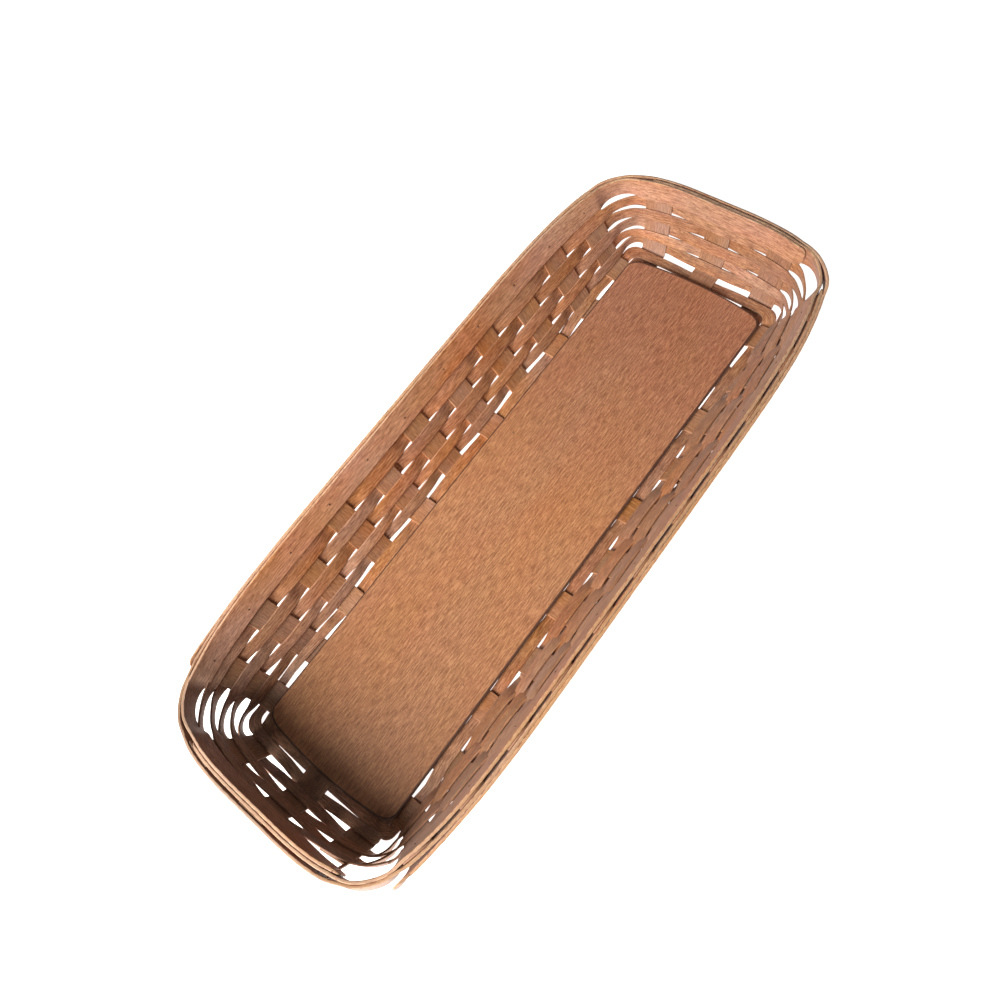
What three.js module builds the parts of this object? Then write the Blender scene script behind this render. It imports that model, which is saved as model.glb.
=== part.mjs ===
// A long, shallow splint basket with flared walls, a double banded rim and a flat board in its base.
// Millimetres, +Z up, +X along the basket. The origin is the middle of the underside, on the resting plane.
//
// Cross stakes run down one long wall, under the board and up the other. Long stakes do the same between
// the end walls. Six weavers circle the basket, the lowest lying almost flat around the base.
// Every splint passes in turn inside and outside the ones that it crosses.

import * as THREE from "three";

// Stakes, the upright splints
const crossStakeCount = 11;
const crossStakePitch = 39;
const crossStakeFan = 0.007;
const longStakeCount = 3;
const longStakePitch = 44.8;
const longStakeFan = 0.08;
const stakeWidth = 19;
const stakeThickness = 1.3;

// Weavers, the splints that circle the basket
const upperWeaverCount = 3;
const upperWeaverWidth = 9.4;
const lowerWeaverCount = 2;
const lowerWeaverWidth = 7.5;
const baseWeaverWidth = 6;
const weaverThickness = 1.2;
const weaverSpacing = 0.3;
const weaverBulge = 0.6;

// Each weaver's ends overlap at one upright, counted round the basket; rows from the rim down. The lap starts
// a little before that upright and ends a little after it, as shares of the gaps there.
const weaverLaps = [9, 18, 3, 22, 7, 5];
const lapStart = 0.9;
const lapStop = 0.5;

// Fits between splints that lie on each other
const clearance = 0.3;
const seatMargin = 0.8;

// Base, from the outer stakes to the foot of the wall
const baseWeaverSideGap = 2;
const baseWeaverEndGap = 7.8;
const baseWeaverRise = 0.6;
const heelSideGap = 0.8;
const heelEndGap = 3;
const heelRise = 0.25;
const heelToWeaver = 1.5;
const baseCornerRadius = 5;

// Walls
const sideFlare = THREE.MathUtils.degToRad(32.2);
const endFlare = THREE.MathUtils.degToRad(19.6);
// How far the end walls belly out between the base and the rim
const nearEndBelly = 7;
const farEndBelly = 3.5;
// Its shares at the foot of the wall and above, and the powers that set how soon and how roundly it comes
const bellyAtFoot = 0.35;
const bellyAbove = 0.75;
const bellyRise = 0.62;
const bellyRound = 1.6;
const rimCornerRadius = 11;
const rimSideBow = 17;
const rimEndBow = 16;
const sideBowPower = 6;
const endBowPower = 4;

// Rim bands
const bandWidth = 16.6;
const bandThickness = 2;
const stakeBelowRim = 1.2;
const sprungEndLength = 50;
const sprungEndReach = 4;

// Where the bands start, finish and step over one another, as shares of the gap round a corner
const innerLongEnds = { nearRight: 0.72, farRight: 0.3 };
const innerShortEnds = { farLeft: 0.85, nearLeft: 0.15 };
const outerUnderEnds = { farRight: 0.7, farLeft: 0.25 };
const outerTopEnds = { nearLeft: 0.85, nearRight: 0.3 };
const innerLongSteps = { nearLeft: [0.3, 0.9], farLeft: [0.1, 0.7] };
const outerTopSteps = { farLeft: [0.35, 0.95], farRight: [0.05, 0.6] };

// Board
const boardThickness = 3;
const boardSideMargin = 2.2;
const boardEndMargin = 2.2;
const boardCornerRadius = 7;
const boardEndBow = 4.5;
const boardEdgeRound = 0.6;
const boardOffCentre = -0.95;

// How many straight steps stand for a curve
const weaverCornerSteps = 9;
const bandCornerSteps = 10;
const bandNearCornerSteps = 4;
const bandGapSteps = 2;
const boardCornerSteps = 6;

// Colours and finish
const woodRoughness = 0.62;
const stakeColour = 0x9c6038;
const weaverColour = 0xa5683f;
const bandColour = 0xa9683c;
const boardColour = 0xa8693f;

const halfStake = stakeWidth / 2;
const seatEdge = halfStake + seatMargin;

// Splints that cross in the base share the bending, so each is lifted half of the way
const baseLift = (stakeThickness + clearance) / 2;
const baseWeaverLift = ((stakeThickness + weaverThickness) / 2 + clearance) / 2;
const baseHeight = baseLift + stakeThickness / 2;

// On the walls the stakes stay straight and the weavers do all the bending
const seatOffset = (stakeThickness + weaverThickness) / 2 + clearance;
const bulgeOffset = seatOffset + weaverBulge;

const lastCrossX = ((crossStakeCount - 1) / 2) * crossStakePitch;
const lastLongY = ((longStakeCount - 1) / 2) * longStakePitch;

// A level is one closed outline of the stakes' middle surface: half length, half width, corner radius,
// the outward bow of its long sides and of its ends, and its height
function makeLevel(z, halfLength, halfWidth, radius, sideBow = 0, endBow = 0) {
  return { z, halfLength, halfWidth, radius, sideBow, endBow };
}

const baseInner = makeLevel(
  baseHeight,
  lastCrossX + halfStake + baseWeaverEndGap,
  lastLongY + halfStake + baseWeaverSideGap,
  baseCornerRadius,
);
const baseOuter = makeLevel(
  baseHeight + baseWeaverRise,
  baseInner.halfLength + baseWeaverWidth,
  baseInner.halfWidth + baseWeaverWidth,
  baseCornerRadius + baseWeaverWidth / 2,
);
const heel = makeLevel(
  baseOuter.z + heelRise,
  baseOuter.halfLength + heelEndGap,
  baseOuter.halfWidth + heelSideGap,
  baseOuter.radius + heelSideGap,
);

const lowerStep = lowerWeaverWidth + weaverSpacing;
const upperStep = upperWeaverWidth + weaverSpacing;
const bandFoot = heelToWeaver + lowerWeaverCount * lowerStep + upperWeaverCount * upperStep;
const wallLength = bandFoot + bandWidth;

// Distances up the wall between its rows, from the foot of the lowest to the rim bands
const rowEdges = [heelToWeaver - weaverSpacing / 2];
for (let i = 0; i < lowerWeaverCount + upperWeaverCount; i++) {
  rowEdges.push(rowEdges[i] + (i < lowerWeaverCount ? lowerStep : upperStep));
}
const wallHeight = wallLength * Math.cos(sideFlare);
const rim = makeLevel(
  heel.z + wallHeight,
  heel.halfLength + wallHeight * Math.tan(endFlare) - rimEndBow,
  heel.halfWidth + wallLength * Math.sin(sideFlare) - rimSideBow,
  rimCornerRadius,
  rimSideBow,
  rimEndBow,
);

// The outline at a distance up the slope of the long walls
function wallLevel(distance) {
  const t = distance / wallLength;
  const mix = (key) => THREE.MathUtils.lerp(heel[key], rim[key], t);
  return makeLevel(
    mix("z"),
    mix("halfLength"),
    mix("halfWidth"),
    mix("radius"),
    mix("sideBow"),
    mix("endBow"),
  );
}

// Moves a point of an end wall out to where the wall bellies, most in the middle of the end
function bellied(point) {
  const t = THREE.MathUtils.clamp((point.z - heel.z) / wallHeight, 0, 1);
  const halfWidth = THREE.MathUtils.lerp(heel.halfWidth, rim.halfWidth, t);
  const across = Math.max(0, 1 - (point.y / halfWidth) ** 2);
  const beyond = THREE.MathUtils.smoothstep(Math.abs(point.x), lastCrossX + halfStake, baseInner.halfLength);
  const up = bellyAtFoot * (1 - t) + bellyAbove * Math.sin(Math.PI * t ** bellyRise) ** bellyRound;
  const reach = point.x < 0 ? nearEndBelly : farEndBelly;
  point.x += Math.sign(point.x) * reach * up * across * beyond;
  return point;
}

// Distance along an outline from the middle of a straight side, whose half is `half`, to an offset along it
function distanceTo(offset, half, radius) {
  const straight = half - radius;
  const size = Math.abs(offset);
  if (size <= straight) return offset;
  const angle = Math.asin(Math.min(1, (size - straight) / radius));
  return Math.sign(offset) * (straight + radius * angle);
}

function quarterLength(level) {
  return level.halfLength + level.halfWidth - 2 * level.radius + (level.radius * Math.PI) / 2;
}

// The point of a quarter outline at a distance from the middle of its long side towards the end
function quarterPoint(level, distance) {
  const { halfLength, halfWidth, radius } = level;
  const side = halfLength - radius;
  const arc = (radius * Math.PI) / 2;
  const point = new THREE.Vector2();
  if (distance <= side) {
    point.set(distance, halfWidth);
  } else if (distance <= side + arc) {
    const angle = (distance - side) / radius;
    point.set(side + radius * Math.sin(angle), halfWidth - radius + radius * Math.cos(angle));
  } else {
    point.set(halfLength, halfWidth - radius - (distance - side - arc));
  }
  const along = 1 - (point.x / halfLength) ** sideBowPower;
  const across = 1 - (point.y / halfWidth) ** endBowPower;
  point.y += (point.y / halfWidth) * level.sideBow * along;
  point.x += (point.x / halfLength) * level.endBow * across;
  return point;
}

// The outline's point at a distance round it, clockwise from above, starting at the middle of the +X end
function outlinePoint(level, distance) {
  const quarter = quarterLength(level);
  const around = THREE.MathUtils.euclideanModulo(distance, 4 * quarter);
  const index = Math.floor(around / quarter);
  const within = around - index * quarter;
  const fromSide = index % 2 === 0 ? quarter - within : within;
  const point = quarterPoint(level, fromSide);
  const signX = index === 0 || index === 3 ? 1 : -1;
  const signY = index < 2 ? -1 : 1;
  return bellied(new THREE.Vector3(signX * point.x, signY * point.y, level.z));
}

// The stakes fan out a little towards the rim
function fanned(offset, fan, z) {
  return offset * (1 + (fan * Math.max(0, z - heel.z)) / wallHeight);
}

// Stakes are numbered round the basket: the -Y wall from +X to -X, the -X end, the +Y wall, the +X end
const uprightCount = 2 * (crossStakeCount + longStakeCount);

function uprightDistance(level, number) {
  const turns = Math.floor(number / uprightCount);
  const index = number - turns * uprightCount;
  const quarter = quarterLength(level);
  const sideDistance = (x) => distanceTo(fanned(x, crossStakeFan, level.z), level.halfLength, level.radius);
  const endDistance = (y) => distanceTo(fanned(y, longStakeFan, level.z), level.halfWidth, level.radius);
  const nearEnd = index - crossStakeCount;
  const farSide = nearEnd - longStakeCount;
  const farEnd = farSide - crossStakeCount;
  let distance;
  if (nearEnd < 0) distance = quarter - sideDistance(lastCrossX - index * crossStakePitch);
  else if (farSide < 0) distance = 2 * quarter + endDistance(nearEnd * longStakePitch - lastLongY);
  else if (farEnd < 0) distance = 3 * quarter + sideDistance(farSide * crossStakePitch - lastCrossX);
  else distance = 4 * quarter + endDistance(farEnd * longStakePitch - lastLongY);
  return distance + turns * 4 * quarter;
}

// A place round the basket: `stake` upright, then a share of the gap to the next one.
// A null share is the middle of the upright itself.
function ringDistance(level, stake, share) {
  const here = uprightDistance(level, stake);
  if (share === null) return here;
  const gap = uprightDistance(level, stake + 1) - here - 2 * seatEdge;
  return here + seatEdge + share * gap;
}

// The same place as one running number, linear between uprights
function ringAt(level, position) {
  const stake = Math.floor(position);
  const here = uprightDistance(level, stake);
  const next = uprightDistance(level, stake + 1);
  return here + (position - stake) * (next - here);
}

const cornerStakes = [
  crossStakeCount - 1,
  crossStakeCount + longStakeCount - 1,
  2 * crossStakeCount + longStakeCount - 1,
  uprightCount - 1,
];

function isCornerGap(stake) {
  return cornerStakes.includes(THREE.MathUtils.euclideanModulo(stake, uprightCount));
}

// A splint as a solid. Each station has points across the splint, on its middle surface, from its low edge
// to its high edge, and a lift, how far the splint stands off that surface along the normal.
function splint(stations, thickness) {
  const across = stations[0].points.length;
  const last = across - 1;
  const positions = [];
  const middle = (station) => station.points[0].clone().add(station.points[last]).multiplyScalar(0.5);
  stations.forEach((station, i) => {
    const before = middle(stations[Math.max(i - 1, 0)]);
    const after = middle(stations[Math.min(i + 1, stations.length - 1)]);
    const along = after.sub(before);
    const width = station.points[last].clone().sub(station.points[0]);
    const normal = width.cross(along).normalize();
    for (const side of [-1, 1]) {
      const offset = normal.clone().multiplyScalar(station.lift + (side * thickness) / 2);
      for (const point of station.points) positions.push(...point.clone().add(offset).toArray());
    }
  });
  const index = [];
  const quad = (a, b, c, d) => index.push(a, b, c, a, c, d);
  const ring = 2 * across;
  const end = ring * (stations.length - 1);
  for (let j = 0; j < last; j++) {
    quad(j, j + 1, across + j + 1, across + j);
    quad(end + j, end + across + j, end + across + j + 1, end + j + 1);
  }
  for (let a = 0; a < end; a += ring) {
    const b = a + ring;
    for (let j = 0; j < last; j++) {
      quad(a + j, b + j, b + j + 1, a + j + 1);
      quad(a + across + j, a + across + j + 1, b + across + j + 1, b + across + j);
    }
    quad(a + last, b + last, b + across + last, a + across + last);
    quad(a + across, b + across, b, a);
  }
  const geometry = new THREE.BufferGeometry();
  geometry.setAttribute("position", new THREE.Float32BufferAttribute(positions, 3));
  geometry.setIndex(index);
  geometry.computeVertexNormals();
  return geometry;
}

function addMesh(group, name, geometry, color) {
  const material = new THREE.MeshStandardMaterial({ color, roughness: woodRoughness, metalness: 0 });
  const mesh = new THREE.Mesh(geometry, material);
  mesh.name = name;
  group.add(mesh);
}

// Stakes have a point at each edge and one in the middle, so that they cup a little where the outline bends
const stakeSides = [-1, 0, 1];

// A stake's half, from the middle of the base to its tip, as stations that give its place along the base,
// the outline that it follows there, and its lift. `crossings` are the splints that it crosses in the base.
function stakeHalf(crossings, reachOf, weaverLift) {
  const half = [];
  for (const crossing of crossings) {
    if (crossing.at > 0) half.push({ at: crossing.at - seatEdge, lift: crossing.lift });
    half.push({ at: crossing.at + halfStake + clearance, lift: crossing.lift });
  }
  half.push({ level: baseInner, inset: clearance, lift: weaverLift });
  half.push({ level: baseOuter, inset: 0, lift: weaverLift });
  half.push({ level: heel, inset: 0, lift: weaverLift / 2 });
  for (const distance of [...rowEdges, wallLength - stakeBelowRim]) {
    half.push({ level: wallLevel(distance), inset: 0, lift: 0 });
  }
  return half.map((station) => {
    const height = station.level ? station.level.z : baseHeight;
    const reach = (side) => (station.level ? reachOf(station.level, side) - station.inset : station.at);
    return { reaches: stakeSides.map(reach), z: height, lift: station.lift };
  });
}

// Half width or half length of an outline beside a given place along its other axis
function sideReach(level, x) {
  return quarterPoint(level, distanceTo(Math.abs(x), level.halfLength, level.radius)).y;
}

function endReach(level, y) {
  const quarter = quarterLength(level);
  return quarterPoint(level, quarter - distanceTo(Math.abs(y), level.halfWidth, level.radius)).x;
}

// Both halves of a stake joined into one splint; `place` turns (side, reach, height) into a point
function stake(half, place) {
  const stationAt = (sign, { reaches, z, lift }) => ({
    points: stakeSides.map((side, i) => place(side, sign * reaches[i], z)),
    lift,
  });
  const near = half.map((station) => stationAt(-1, station)).reverse();
  const far = half.map((station) => stationAt(1, station));
  return splint([...near, ...far], stakeThickness);
}

function crossStake(index) {
  const baseX = index * crossStakePitch - lastCrossX;
  const edgeX = (side, z) => fanned(baseX, crossStakeFan, z) + side * halfStake;
  const sign = index % 2 === 0 ? 1 : -1;
  const crossings = [];
  for (let j = (longStakeCount - 1) / 2; j < longStakeCount; j++) {
    const outward = j - (longStakeCount - 1) / 2;
    const lift = sign * baseLift * (outward % 2 === 0 ? 1 : -1);
    crossings.push({ at: outward * longStakePitch, lift });
  }
  const reach = (level, side) => sideReach(level, edgeX(side, level.z));
  const half = stakeHalf(crossings, reach, sign * baseWeaverLift);
  return stake(half, (side, y, z) => new THREE.Vector3(edgeX(side, z), y, z));
}

function longStake(index) {
  const outward = index - (longStakeCount - 1) / 2;
  const baseY = outward * longStakePitch;
  const edgeY = (side, z) => fanned(baseY, longStakeFan, z) - side * halfStake;
  const sign = outward % 2 === 0 ? -1 : 1;
  const crossings = [];
  for (let i = (crossStakeCount - 1) / 2; i < crossStakeCount; i++) {
    const at = i * crossStakePitch - lastCrossX;
    crossings.push({ at, lift: sign * baseLift * (i % 2 === 0 ? 1 : -1) });
  }
  const reach = (level, side) => endReach(level, edgeY(side, level.z));
  const half = stakeHalf(crossings, reach, -sign * baseWeaverLift);
  return stake(half, (side, x, z) => bellied(new THREE.Vector3(x, edgeY(side, z), z)));
}

// A weaver's own ends overlap at one upright: the end that starts lies over the end that finishes, on the
// side away from the stake, so it stands off by one more thickness until the finishing end stops
const lapLift = weaverThickness + clearance;
const gapShares = [0, lapStop, 1];
const cornerShares = Array.from({ length: weaverCornerSteps + 1 }, (_, i) => i / weaverCornerSteps);

// Row 1 is the top weaver. Odd rows pass outside the odd uprights, even rows outside the even ones.
function weaver(row, low, high, seat, bulge) {
  const startStake = weaverLaps[row - 1];
  const stations = [];
  const outside = (number) => ((row + number) % 2 === 0 ? 1 : -1);
  const addStation = (number, share, lift) => {
    const points = [low, high].map((level) => outlinePoint(level, ringDistance(level, number, share)));
    stations.push({ points, lift });
  };
  const gapLift = (number, share) => {
    const turn = 1 - 2 * THREE.MathUtils.smoothstep(share, 0, 1);
    return outside(number) * seat * turn;
  };
  const over = outside(startStake) * lapLift;
  for (const share of [lapStart, 1]) {
    addStation(startStake - 1, share, gapLift(startStake - 1, share) + over);
  }
  addStation(startStake, null, outside(startStake) * bulge + over);
  for (const share of gapShares) {
    const left = 1 - THREE.MathUtils.smoothstep(share, lapStop, 1);
    addStation(startStake, share, gapLift(startStake, share) + over * left);
  }
  const finishStake = startStake + uprightCount;
  for (let k = startStake + 1; k <= finishStake; k++) {
    addStation(k, null, outside(k) * bulge);
    let shares = isCornerGap(k) ? cornerShares : gapShares;
    if (k === finishStake) shares = gapShares.filter((share) => share <= lapStop);
    for (const share of shares) addStation(k, share, gapLift(k, share));
  }
  return splint(stations, weaverThickness);
}

// Layers of the rim, counted from the stakes; inner ones are negative
function layerLift(layer) {
  const first = stakeThickness / 2 + clearance + bandThickness / 2;
  const more = (Math.abs(layer) - 1) * (bandThickness + clearance);
  return Math.sign(layer) * (first + more);
}

// How finely a rim band follows the gap after an upright
function bandSteps(number) {
  if (isCornerGap(number)) return bandCornerSteps;
  return isCornerGap(number - 1) || isCornerGap(number + 1) ? bandNearCornerSteps : bandGapSteps;
}

// Stations closer than this to a band's own ends are left out, as a share of a gap
const leastStep = 0.02;

// A rim band from one place to another; `layerAt` gives its layer and `spring` how far it stands off
function band(start, finish, layerAt, spring = () => 0) {
  const low = wallLevel(bandFoot + weaverSpacing);
  const high = wallLevel(wallLength);
  const places = [start];
  for (let k = Math.floor(start); k < finish; k++) {
    const steps = bandSteps(k);
    for (let i = 0; i < steps; i++) {
      const place = k + i / steps;
      if (place > start + leastStep && place < finish - leastStep) places.push(place);
    }
  }
  places.push(finish);
  const stations = places.map((place) => ({
    points: [low, high].map((level) => outlinePoint(level, ringAt(level, place))),
    lift: layerAt(place) + spring(ringAt(high, place), high),
  }));
  return splint(stations, bandThickness);
}

// The lift of a band that steps from one layer to another round a corner
function stepLayers(place, corner, [from, to], first, second) {
  const share = THREE.MathUtils.smoothstep(place, corner + from, corner + to);
  return THREE.MathUtils.lerp(layerLift(first), layerLift(second), share);
}

const nearRightCorner = crossStakeCount - 1;
const nearLeftCorner = crossStakeCount + longStakeCount - 1;
const farLeftCorner = 2 * crossStakeCount + longStakeCount - 1;
const farRightCorner = uprightCount - 1;

// The inner rim is two bands: one along the +Y wall and both ends, the other along the -Y wall, whose ends
// run on behind the first
const innerLongStart = nearRightCorner + innerLongEnds.nearRight;
const innerLongFinish = farRightCorner + innerLongEnds.farRight;
const innerShortStart = farLeftCorner - uprightCount + innerShortEnds.farLeft;
const innerShortFinish = nearLeftCorner + innerShortEnds.nearLeft;

function innerLongLayer(place) {
  if (place < (nearLeftCorner + farLeftCorner) / 2) {
    return stepLayers(place, nearLeftCorner, innerLongSteps.nearLeft, -2, -1);
  }
  return stepLayers(place, farLeftCorner, innerLongSteps.farLeft, -1, -2);
}

// The outer rim is two bands: one along the -Y wall, the -X end and the +Y wall, the other outermost, from
// the +Y wall round the +X end to the -Y wall, with both ends sprung loose
const outerUnderStart = farRightCorner - uprightCount + outerUnderEnds.farRight;
const outerUnderFinish = farLeftCorner + outerUnderEnds.farLeft;
const outerTopStart = nearLeftCorner + outerTopEnds.nearLeft;
const outerTopFinish = nearRightCorner + uprightCount + outerTopEnds.nearRight;

function outerTopLayer(place) {
  if (place < (farLeftCorner + farRightCorner) / 2) {
    return stepLayers(place, farLeftCorner, outerTopSteps.farLeft, 2, 1);
  }
  return stepLayers(place, farRightCorner, outerTopSteps.farRight, 1, 2);
}

function sprungEnds(distance, level) {
  const fromStart = distance - ringAt(level, outerTopStart);
  const fromFinish = ringAt(level, outerTopFinish) - distance;
  const loose = Math.max(0, 1 - Math.min(fromStart, fromFinish) / sprungEndLength);
  return sprungEndReach * loose ** 2;
}

// The board's outline: straight long edges, ends slightly bowed, rounded corners
function boardOutline(inset) {
  const halfWidth = baseInner.halfWidth - boardSideMargin - inset;
  const endX = baseInner.halfLength - boardEndMargin - inset;
  const cornerX = endX - boardEndBow;
  const radius = boardCornerRadius;
  const shape = new THREE.Shape();
  shape.moveTo(-cornerX + radius, -halfWidth);
  shape.lineTo(cornerX - radius, -halfWidth);
  shape.quadraticCurveTo(cornerX, -halfWidth, cornerX, -halfWidth + radius);
  shape.quadraticCurveTo(endX + boardEndBow, 0, cornerX, halfWidth - radius);
  shape.quadraticCurveTo(cornerX, halfWidth, cornerX - radius, halfWidth);
  shape.lineTo(-cornerX + radius, halfWidth);
  shape.quadraticCurveTo(-cornerX, halfWidth, -cornerX, halfWidth - radius);
  shape.quadraticCurveTo(-endX - boardEndBow, 0, -cornerX, -halfWidth + radius);
  shape.quadraticCurveTo(-cornerX, -halfWidth, -cornerX + radius, -halfWidth);
  return shape;
}

function baseBoard() {
  const geometry = new THREE.ExtrudeGeometry(boardOutline(boardEdgeRound), {
    depth: boardThickness - 2 * boardEdgeRound,
    bevelThickness: boardEdgeRound,
    bevelSize: boardEdgeRound,
    bevelSegments: 1,
    curveSegments: boardCornerSteps,
  });
  const underside = 2 * baseHeight + clearance;
  geometry.translate(0, boardOffCentre, underside + boardEdgeRound);
  return geometry;
}

const basket = new THREE.Group();

addMesh(basket, "base_board", baseBoard(), boardColour);

for (let i = 0; i < crossStakeCount; i++) {
  const number = String(i + 1).padStart(2, "0");
  addMesh(basket, `cross_stake_${number}`, crossStake(i), stakeColour);
}

const longStakeNames = ["long_stake_right", "long_stake_middle", "long_stake_left"];
longStakeNames.forEach((name, i) => addMesh(basket, name, longStake(i), stakeColour));

// Rows from the rim down
let slope = bandFoot;
const rowCount = upperWeaverCount + lowerWeaverCount;
for (let row = 1; row <= rowCount; row++) {
  const width = row <= upperWeaverCount ? upperWeaverWidth : lowerWeaverWidth;
  const low = wallLevel(slope - width);
  const high = wallLevel(slope);
  slope -= width + weaverSpacing;
  const geometry = weaver(row, low, high, seatOffset, bulgeOffset);
  addMesh(basket, `weaver_row_${row}`, geometry, weaverColour);
}
const baseRow = rowCount + 1;
const baseWeaver = weaver(baseRow, baseInner, baseOuter, baseWeaverLift, baseWeaverLift);
addMesh(basket, `weaver_row_${baseRow}`, baseWeaver, weaverColour);

const bands = {
  inner_rim_long: band(innerLongStart, innerLongFinish, innerLongLayer),
  inner_rim_short: band(innerShortStart, innerShortFinish, () => layerLift(-1)),
  outer_rim_under: band(outerUnderStart, outerUnderFinish, () => layerLift(1)),
  outer_rim_top: band(outerTopStart, outerTopFinish, outerTopLayer, sprungEnds),
};
for (const [name, geometry] of Object.entries(bands)) addMesh(basket, name, geometry, bandColour);

export default basket;
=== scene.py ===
"""Looks of a long, shallow splint basket: woven stakes and weavers, a tacked double rim, a thin base board.

Every splint is made again as a fine mesh on the same outlines as its solid, with rounded edges, the bends of
a real weave and grain that runs along the strip. Metres, +Z up, +X along the basket.

A place round the basket is an upright's number plus a share of the gap after it. The uprights are numbered
clockwise seen from above: 0 to 10 along the right (-Y) wall from its far end, 11 to 13 across the near (-X)
end, 14 to 24 along the left wall and 25 to 27 across the far end. Places below 0 and from 28 on lie in the
turns before and after.
"""

import math
from typing import NamedTuple

import bpy
import numpy as np
from mathutils import Euler, Matrix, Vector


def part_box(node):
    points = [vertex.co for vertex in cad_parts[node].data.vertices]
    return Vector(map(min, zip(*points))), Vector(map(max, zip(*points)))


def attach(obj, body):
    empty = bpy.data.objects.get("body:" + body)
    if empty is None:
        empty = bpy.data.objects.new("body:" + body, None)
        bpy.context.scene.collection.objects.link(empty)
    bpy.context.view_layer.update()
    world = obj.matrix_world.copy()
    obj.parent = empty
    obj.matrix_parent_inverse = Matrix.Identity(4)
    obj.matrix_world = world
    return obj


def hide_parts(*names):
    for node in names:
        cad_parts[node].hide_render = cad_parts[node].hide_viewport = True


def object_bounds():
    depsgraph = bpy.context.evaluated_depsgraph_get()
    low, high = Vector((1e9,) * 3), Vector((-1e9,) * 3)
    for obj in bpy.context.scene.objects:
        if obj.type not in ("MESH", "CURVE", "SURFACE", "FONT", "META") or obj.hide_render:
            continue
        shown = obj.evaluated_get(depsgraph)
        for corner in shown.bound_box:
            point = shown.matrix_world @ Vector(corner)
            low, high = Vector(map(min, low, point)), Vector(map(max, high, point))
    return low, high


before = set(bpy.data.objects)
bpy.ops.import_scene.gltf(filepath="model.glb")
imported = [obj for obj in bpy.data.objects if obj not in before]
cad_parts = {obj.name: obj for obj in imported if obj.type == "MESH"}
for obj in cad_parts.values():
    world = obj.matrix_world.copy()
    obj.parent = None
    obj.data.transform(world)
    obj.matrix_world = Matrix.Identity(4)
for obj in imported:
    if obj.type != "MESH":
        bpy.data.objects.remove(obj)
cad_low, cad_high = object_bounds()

# Stakes
CROSS_STAKES = 11
CROSS_PITCH = 0.039
CROSS_FAN = 0.007
LONG_STAKES = 3
LONG_PITCH = 0.0448
LONG_FAN = 0.08
STAKE_WIDTH = 0.019
STAKE_THICKNESS = 0.0013
STAKE_BELOW_RIM = 0.0012
STAKE_SIDES = np.linspace(-1, 1, 5)
STAKE_STEP = 0.0024
# The stake whose tip is broken off at the near right corner: how far up the wall, and the share of its width
# that is left above
BROKEN_STAKE = "long_stake_right"
BROKEN_AT = 0.036
SLIVER = 0.1

# Weavers, rows from the rim down. The base row lies almost flat round the base.
ROW_WIDTHS = (0.0094, 0.0094, 0.0094, 0.0075, 0.0075)
BASE_ROW = len(ROW_WIDTHS) + 1
BASE_ROW_WIDTH = 0.006
WEAVER_THICKNESS = 0.0012
WEAVER_SPACING = 0.0003
WEAVER_END = 0.006
LAP_START = 0.9
LAP_STOP = 0.12
# Each row's first and last uprights, where it starts in the gap before the first one, and where it stops in
# the gap after the last one. Rows 2 to 5 lap over their own start, the top row has come away at the near
# right corner, and the base row goes round a little further and stops on its last upright.
ROW_SPANS = (
    (12, 38, 0.12, 0.3),
    (18, 46, LAP_START, LAP_STOP),
    (3, 31, LAP_START, LAP_STOP),
    (22, 50, LAP_START, LAP_STOP),
    (7, 35, LAP_START, LAP_STOP),
    (11, 41, 0.96, None),
)
ON_STAKE = np.linspace(-1, 1, 9)
GAP_STEPS = 10
GAP_FROM = 0.26
CORNER_STEPS = 34
START_STEPS = 3

# Fits. The solids keep a clearance, and the splints made here press on each other as real ones do.
CLEARANCE = 0.0003
SEAT_EDGE = STAKE_WIDTH / 2 + 0.0008
PRESSED_SEAT = (STAKE_THICKNESS + WEAVER_THICKNESS) / 2
PRESSED_BULGE = PRESSED_SEAT + 0.00018
# How much sooner than halfway across a gap a row passes to the inside, and later to the outside
DIVE = 0.12

# What changes round the basket, as places and values: how far each row reaches over its neighbours, how much
# fuller it bulges, and how far the rows climb
REACH = (
    (0, 9.2, 10.2, 13.8, 15, 23, 24.3, 27.3, 28),
    (0.002, 0.002, -0.0002, -0.0002, 0, 0, 0, 0.0003, 0.002),
)
FULLNESS = (0, 8.8, 10, 27.4, 28), (1.3, 1.3, 1, 1, 1.3)
CLIMB = (12, 13.2, 14.1, 15), (0, 0.003, 0.003, 0)
LOWEST_CLIMB = 0.35
# A fuller row reaches further where it lies outside, and the top row's upper edge goes behind the band
BEHIND_REACH = 0.008
TOP_ROW_REACH = 0.0016
# The same for the base row: how far it strays outwards, and how far its first end climbs on the wall over its
# last one, with how far in from the heel that end's low edge lies there and how far up the wall its high edge
BASE_STRAY = (
    (11, 22, 22.5, 23, 23.4, 24, 25, 28, 28.2, 28.5, 29, 29.5, 30, 37, 37.5, 38, 39),
    (0, 0, 0.0018, 0.0024, 0.0032, 0.002, 0, 0, 0.0022, 0.0022, 0.0015, 0.0012, 0, 0, 0.0024, 0, -0.005),
)
BASE_CLIMB = (
    (10.6, 11, 11.5, 12, 12.5, 13, 14, 14.5, 15.5, 16.1),
    (0.3, 0.35, 0.55, 1, 0.5, 0.4, 0.45, 0.6, 0.35, 0),
)
BASE_CLIMB_INSET = (0.0046, 0.0025)
BASE_CLIMB_TOP = 0.003
BASE_CLIMB_FULLNESS = 0.6
# How much further in the base row's inner edge lies, along the basket and across it
BASE_ROW_INSET = (0.001, 0.0018)

# How far the splints stand up towards upright where they go round each corner, in degrees, the bands' share
# of it at the near left corner, and over how many gaps past the near right one they lie back again
CORNER_STAND = {"near_right": 24, "near_left": 31, "far_left": 18, "far_right": 24}
NEAR_LEFT_BAND_STAND = 0.6
STAND_ROUND = 0.7
STAND_FADE = 1.05

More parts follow.
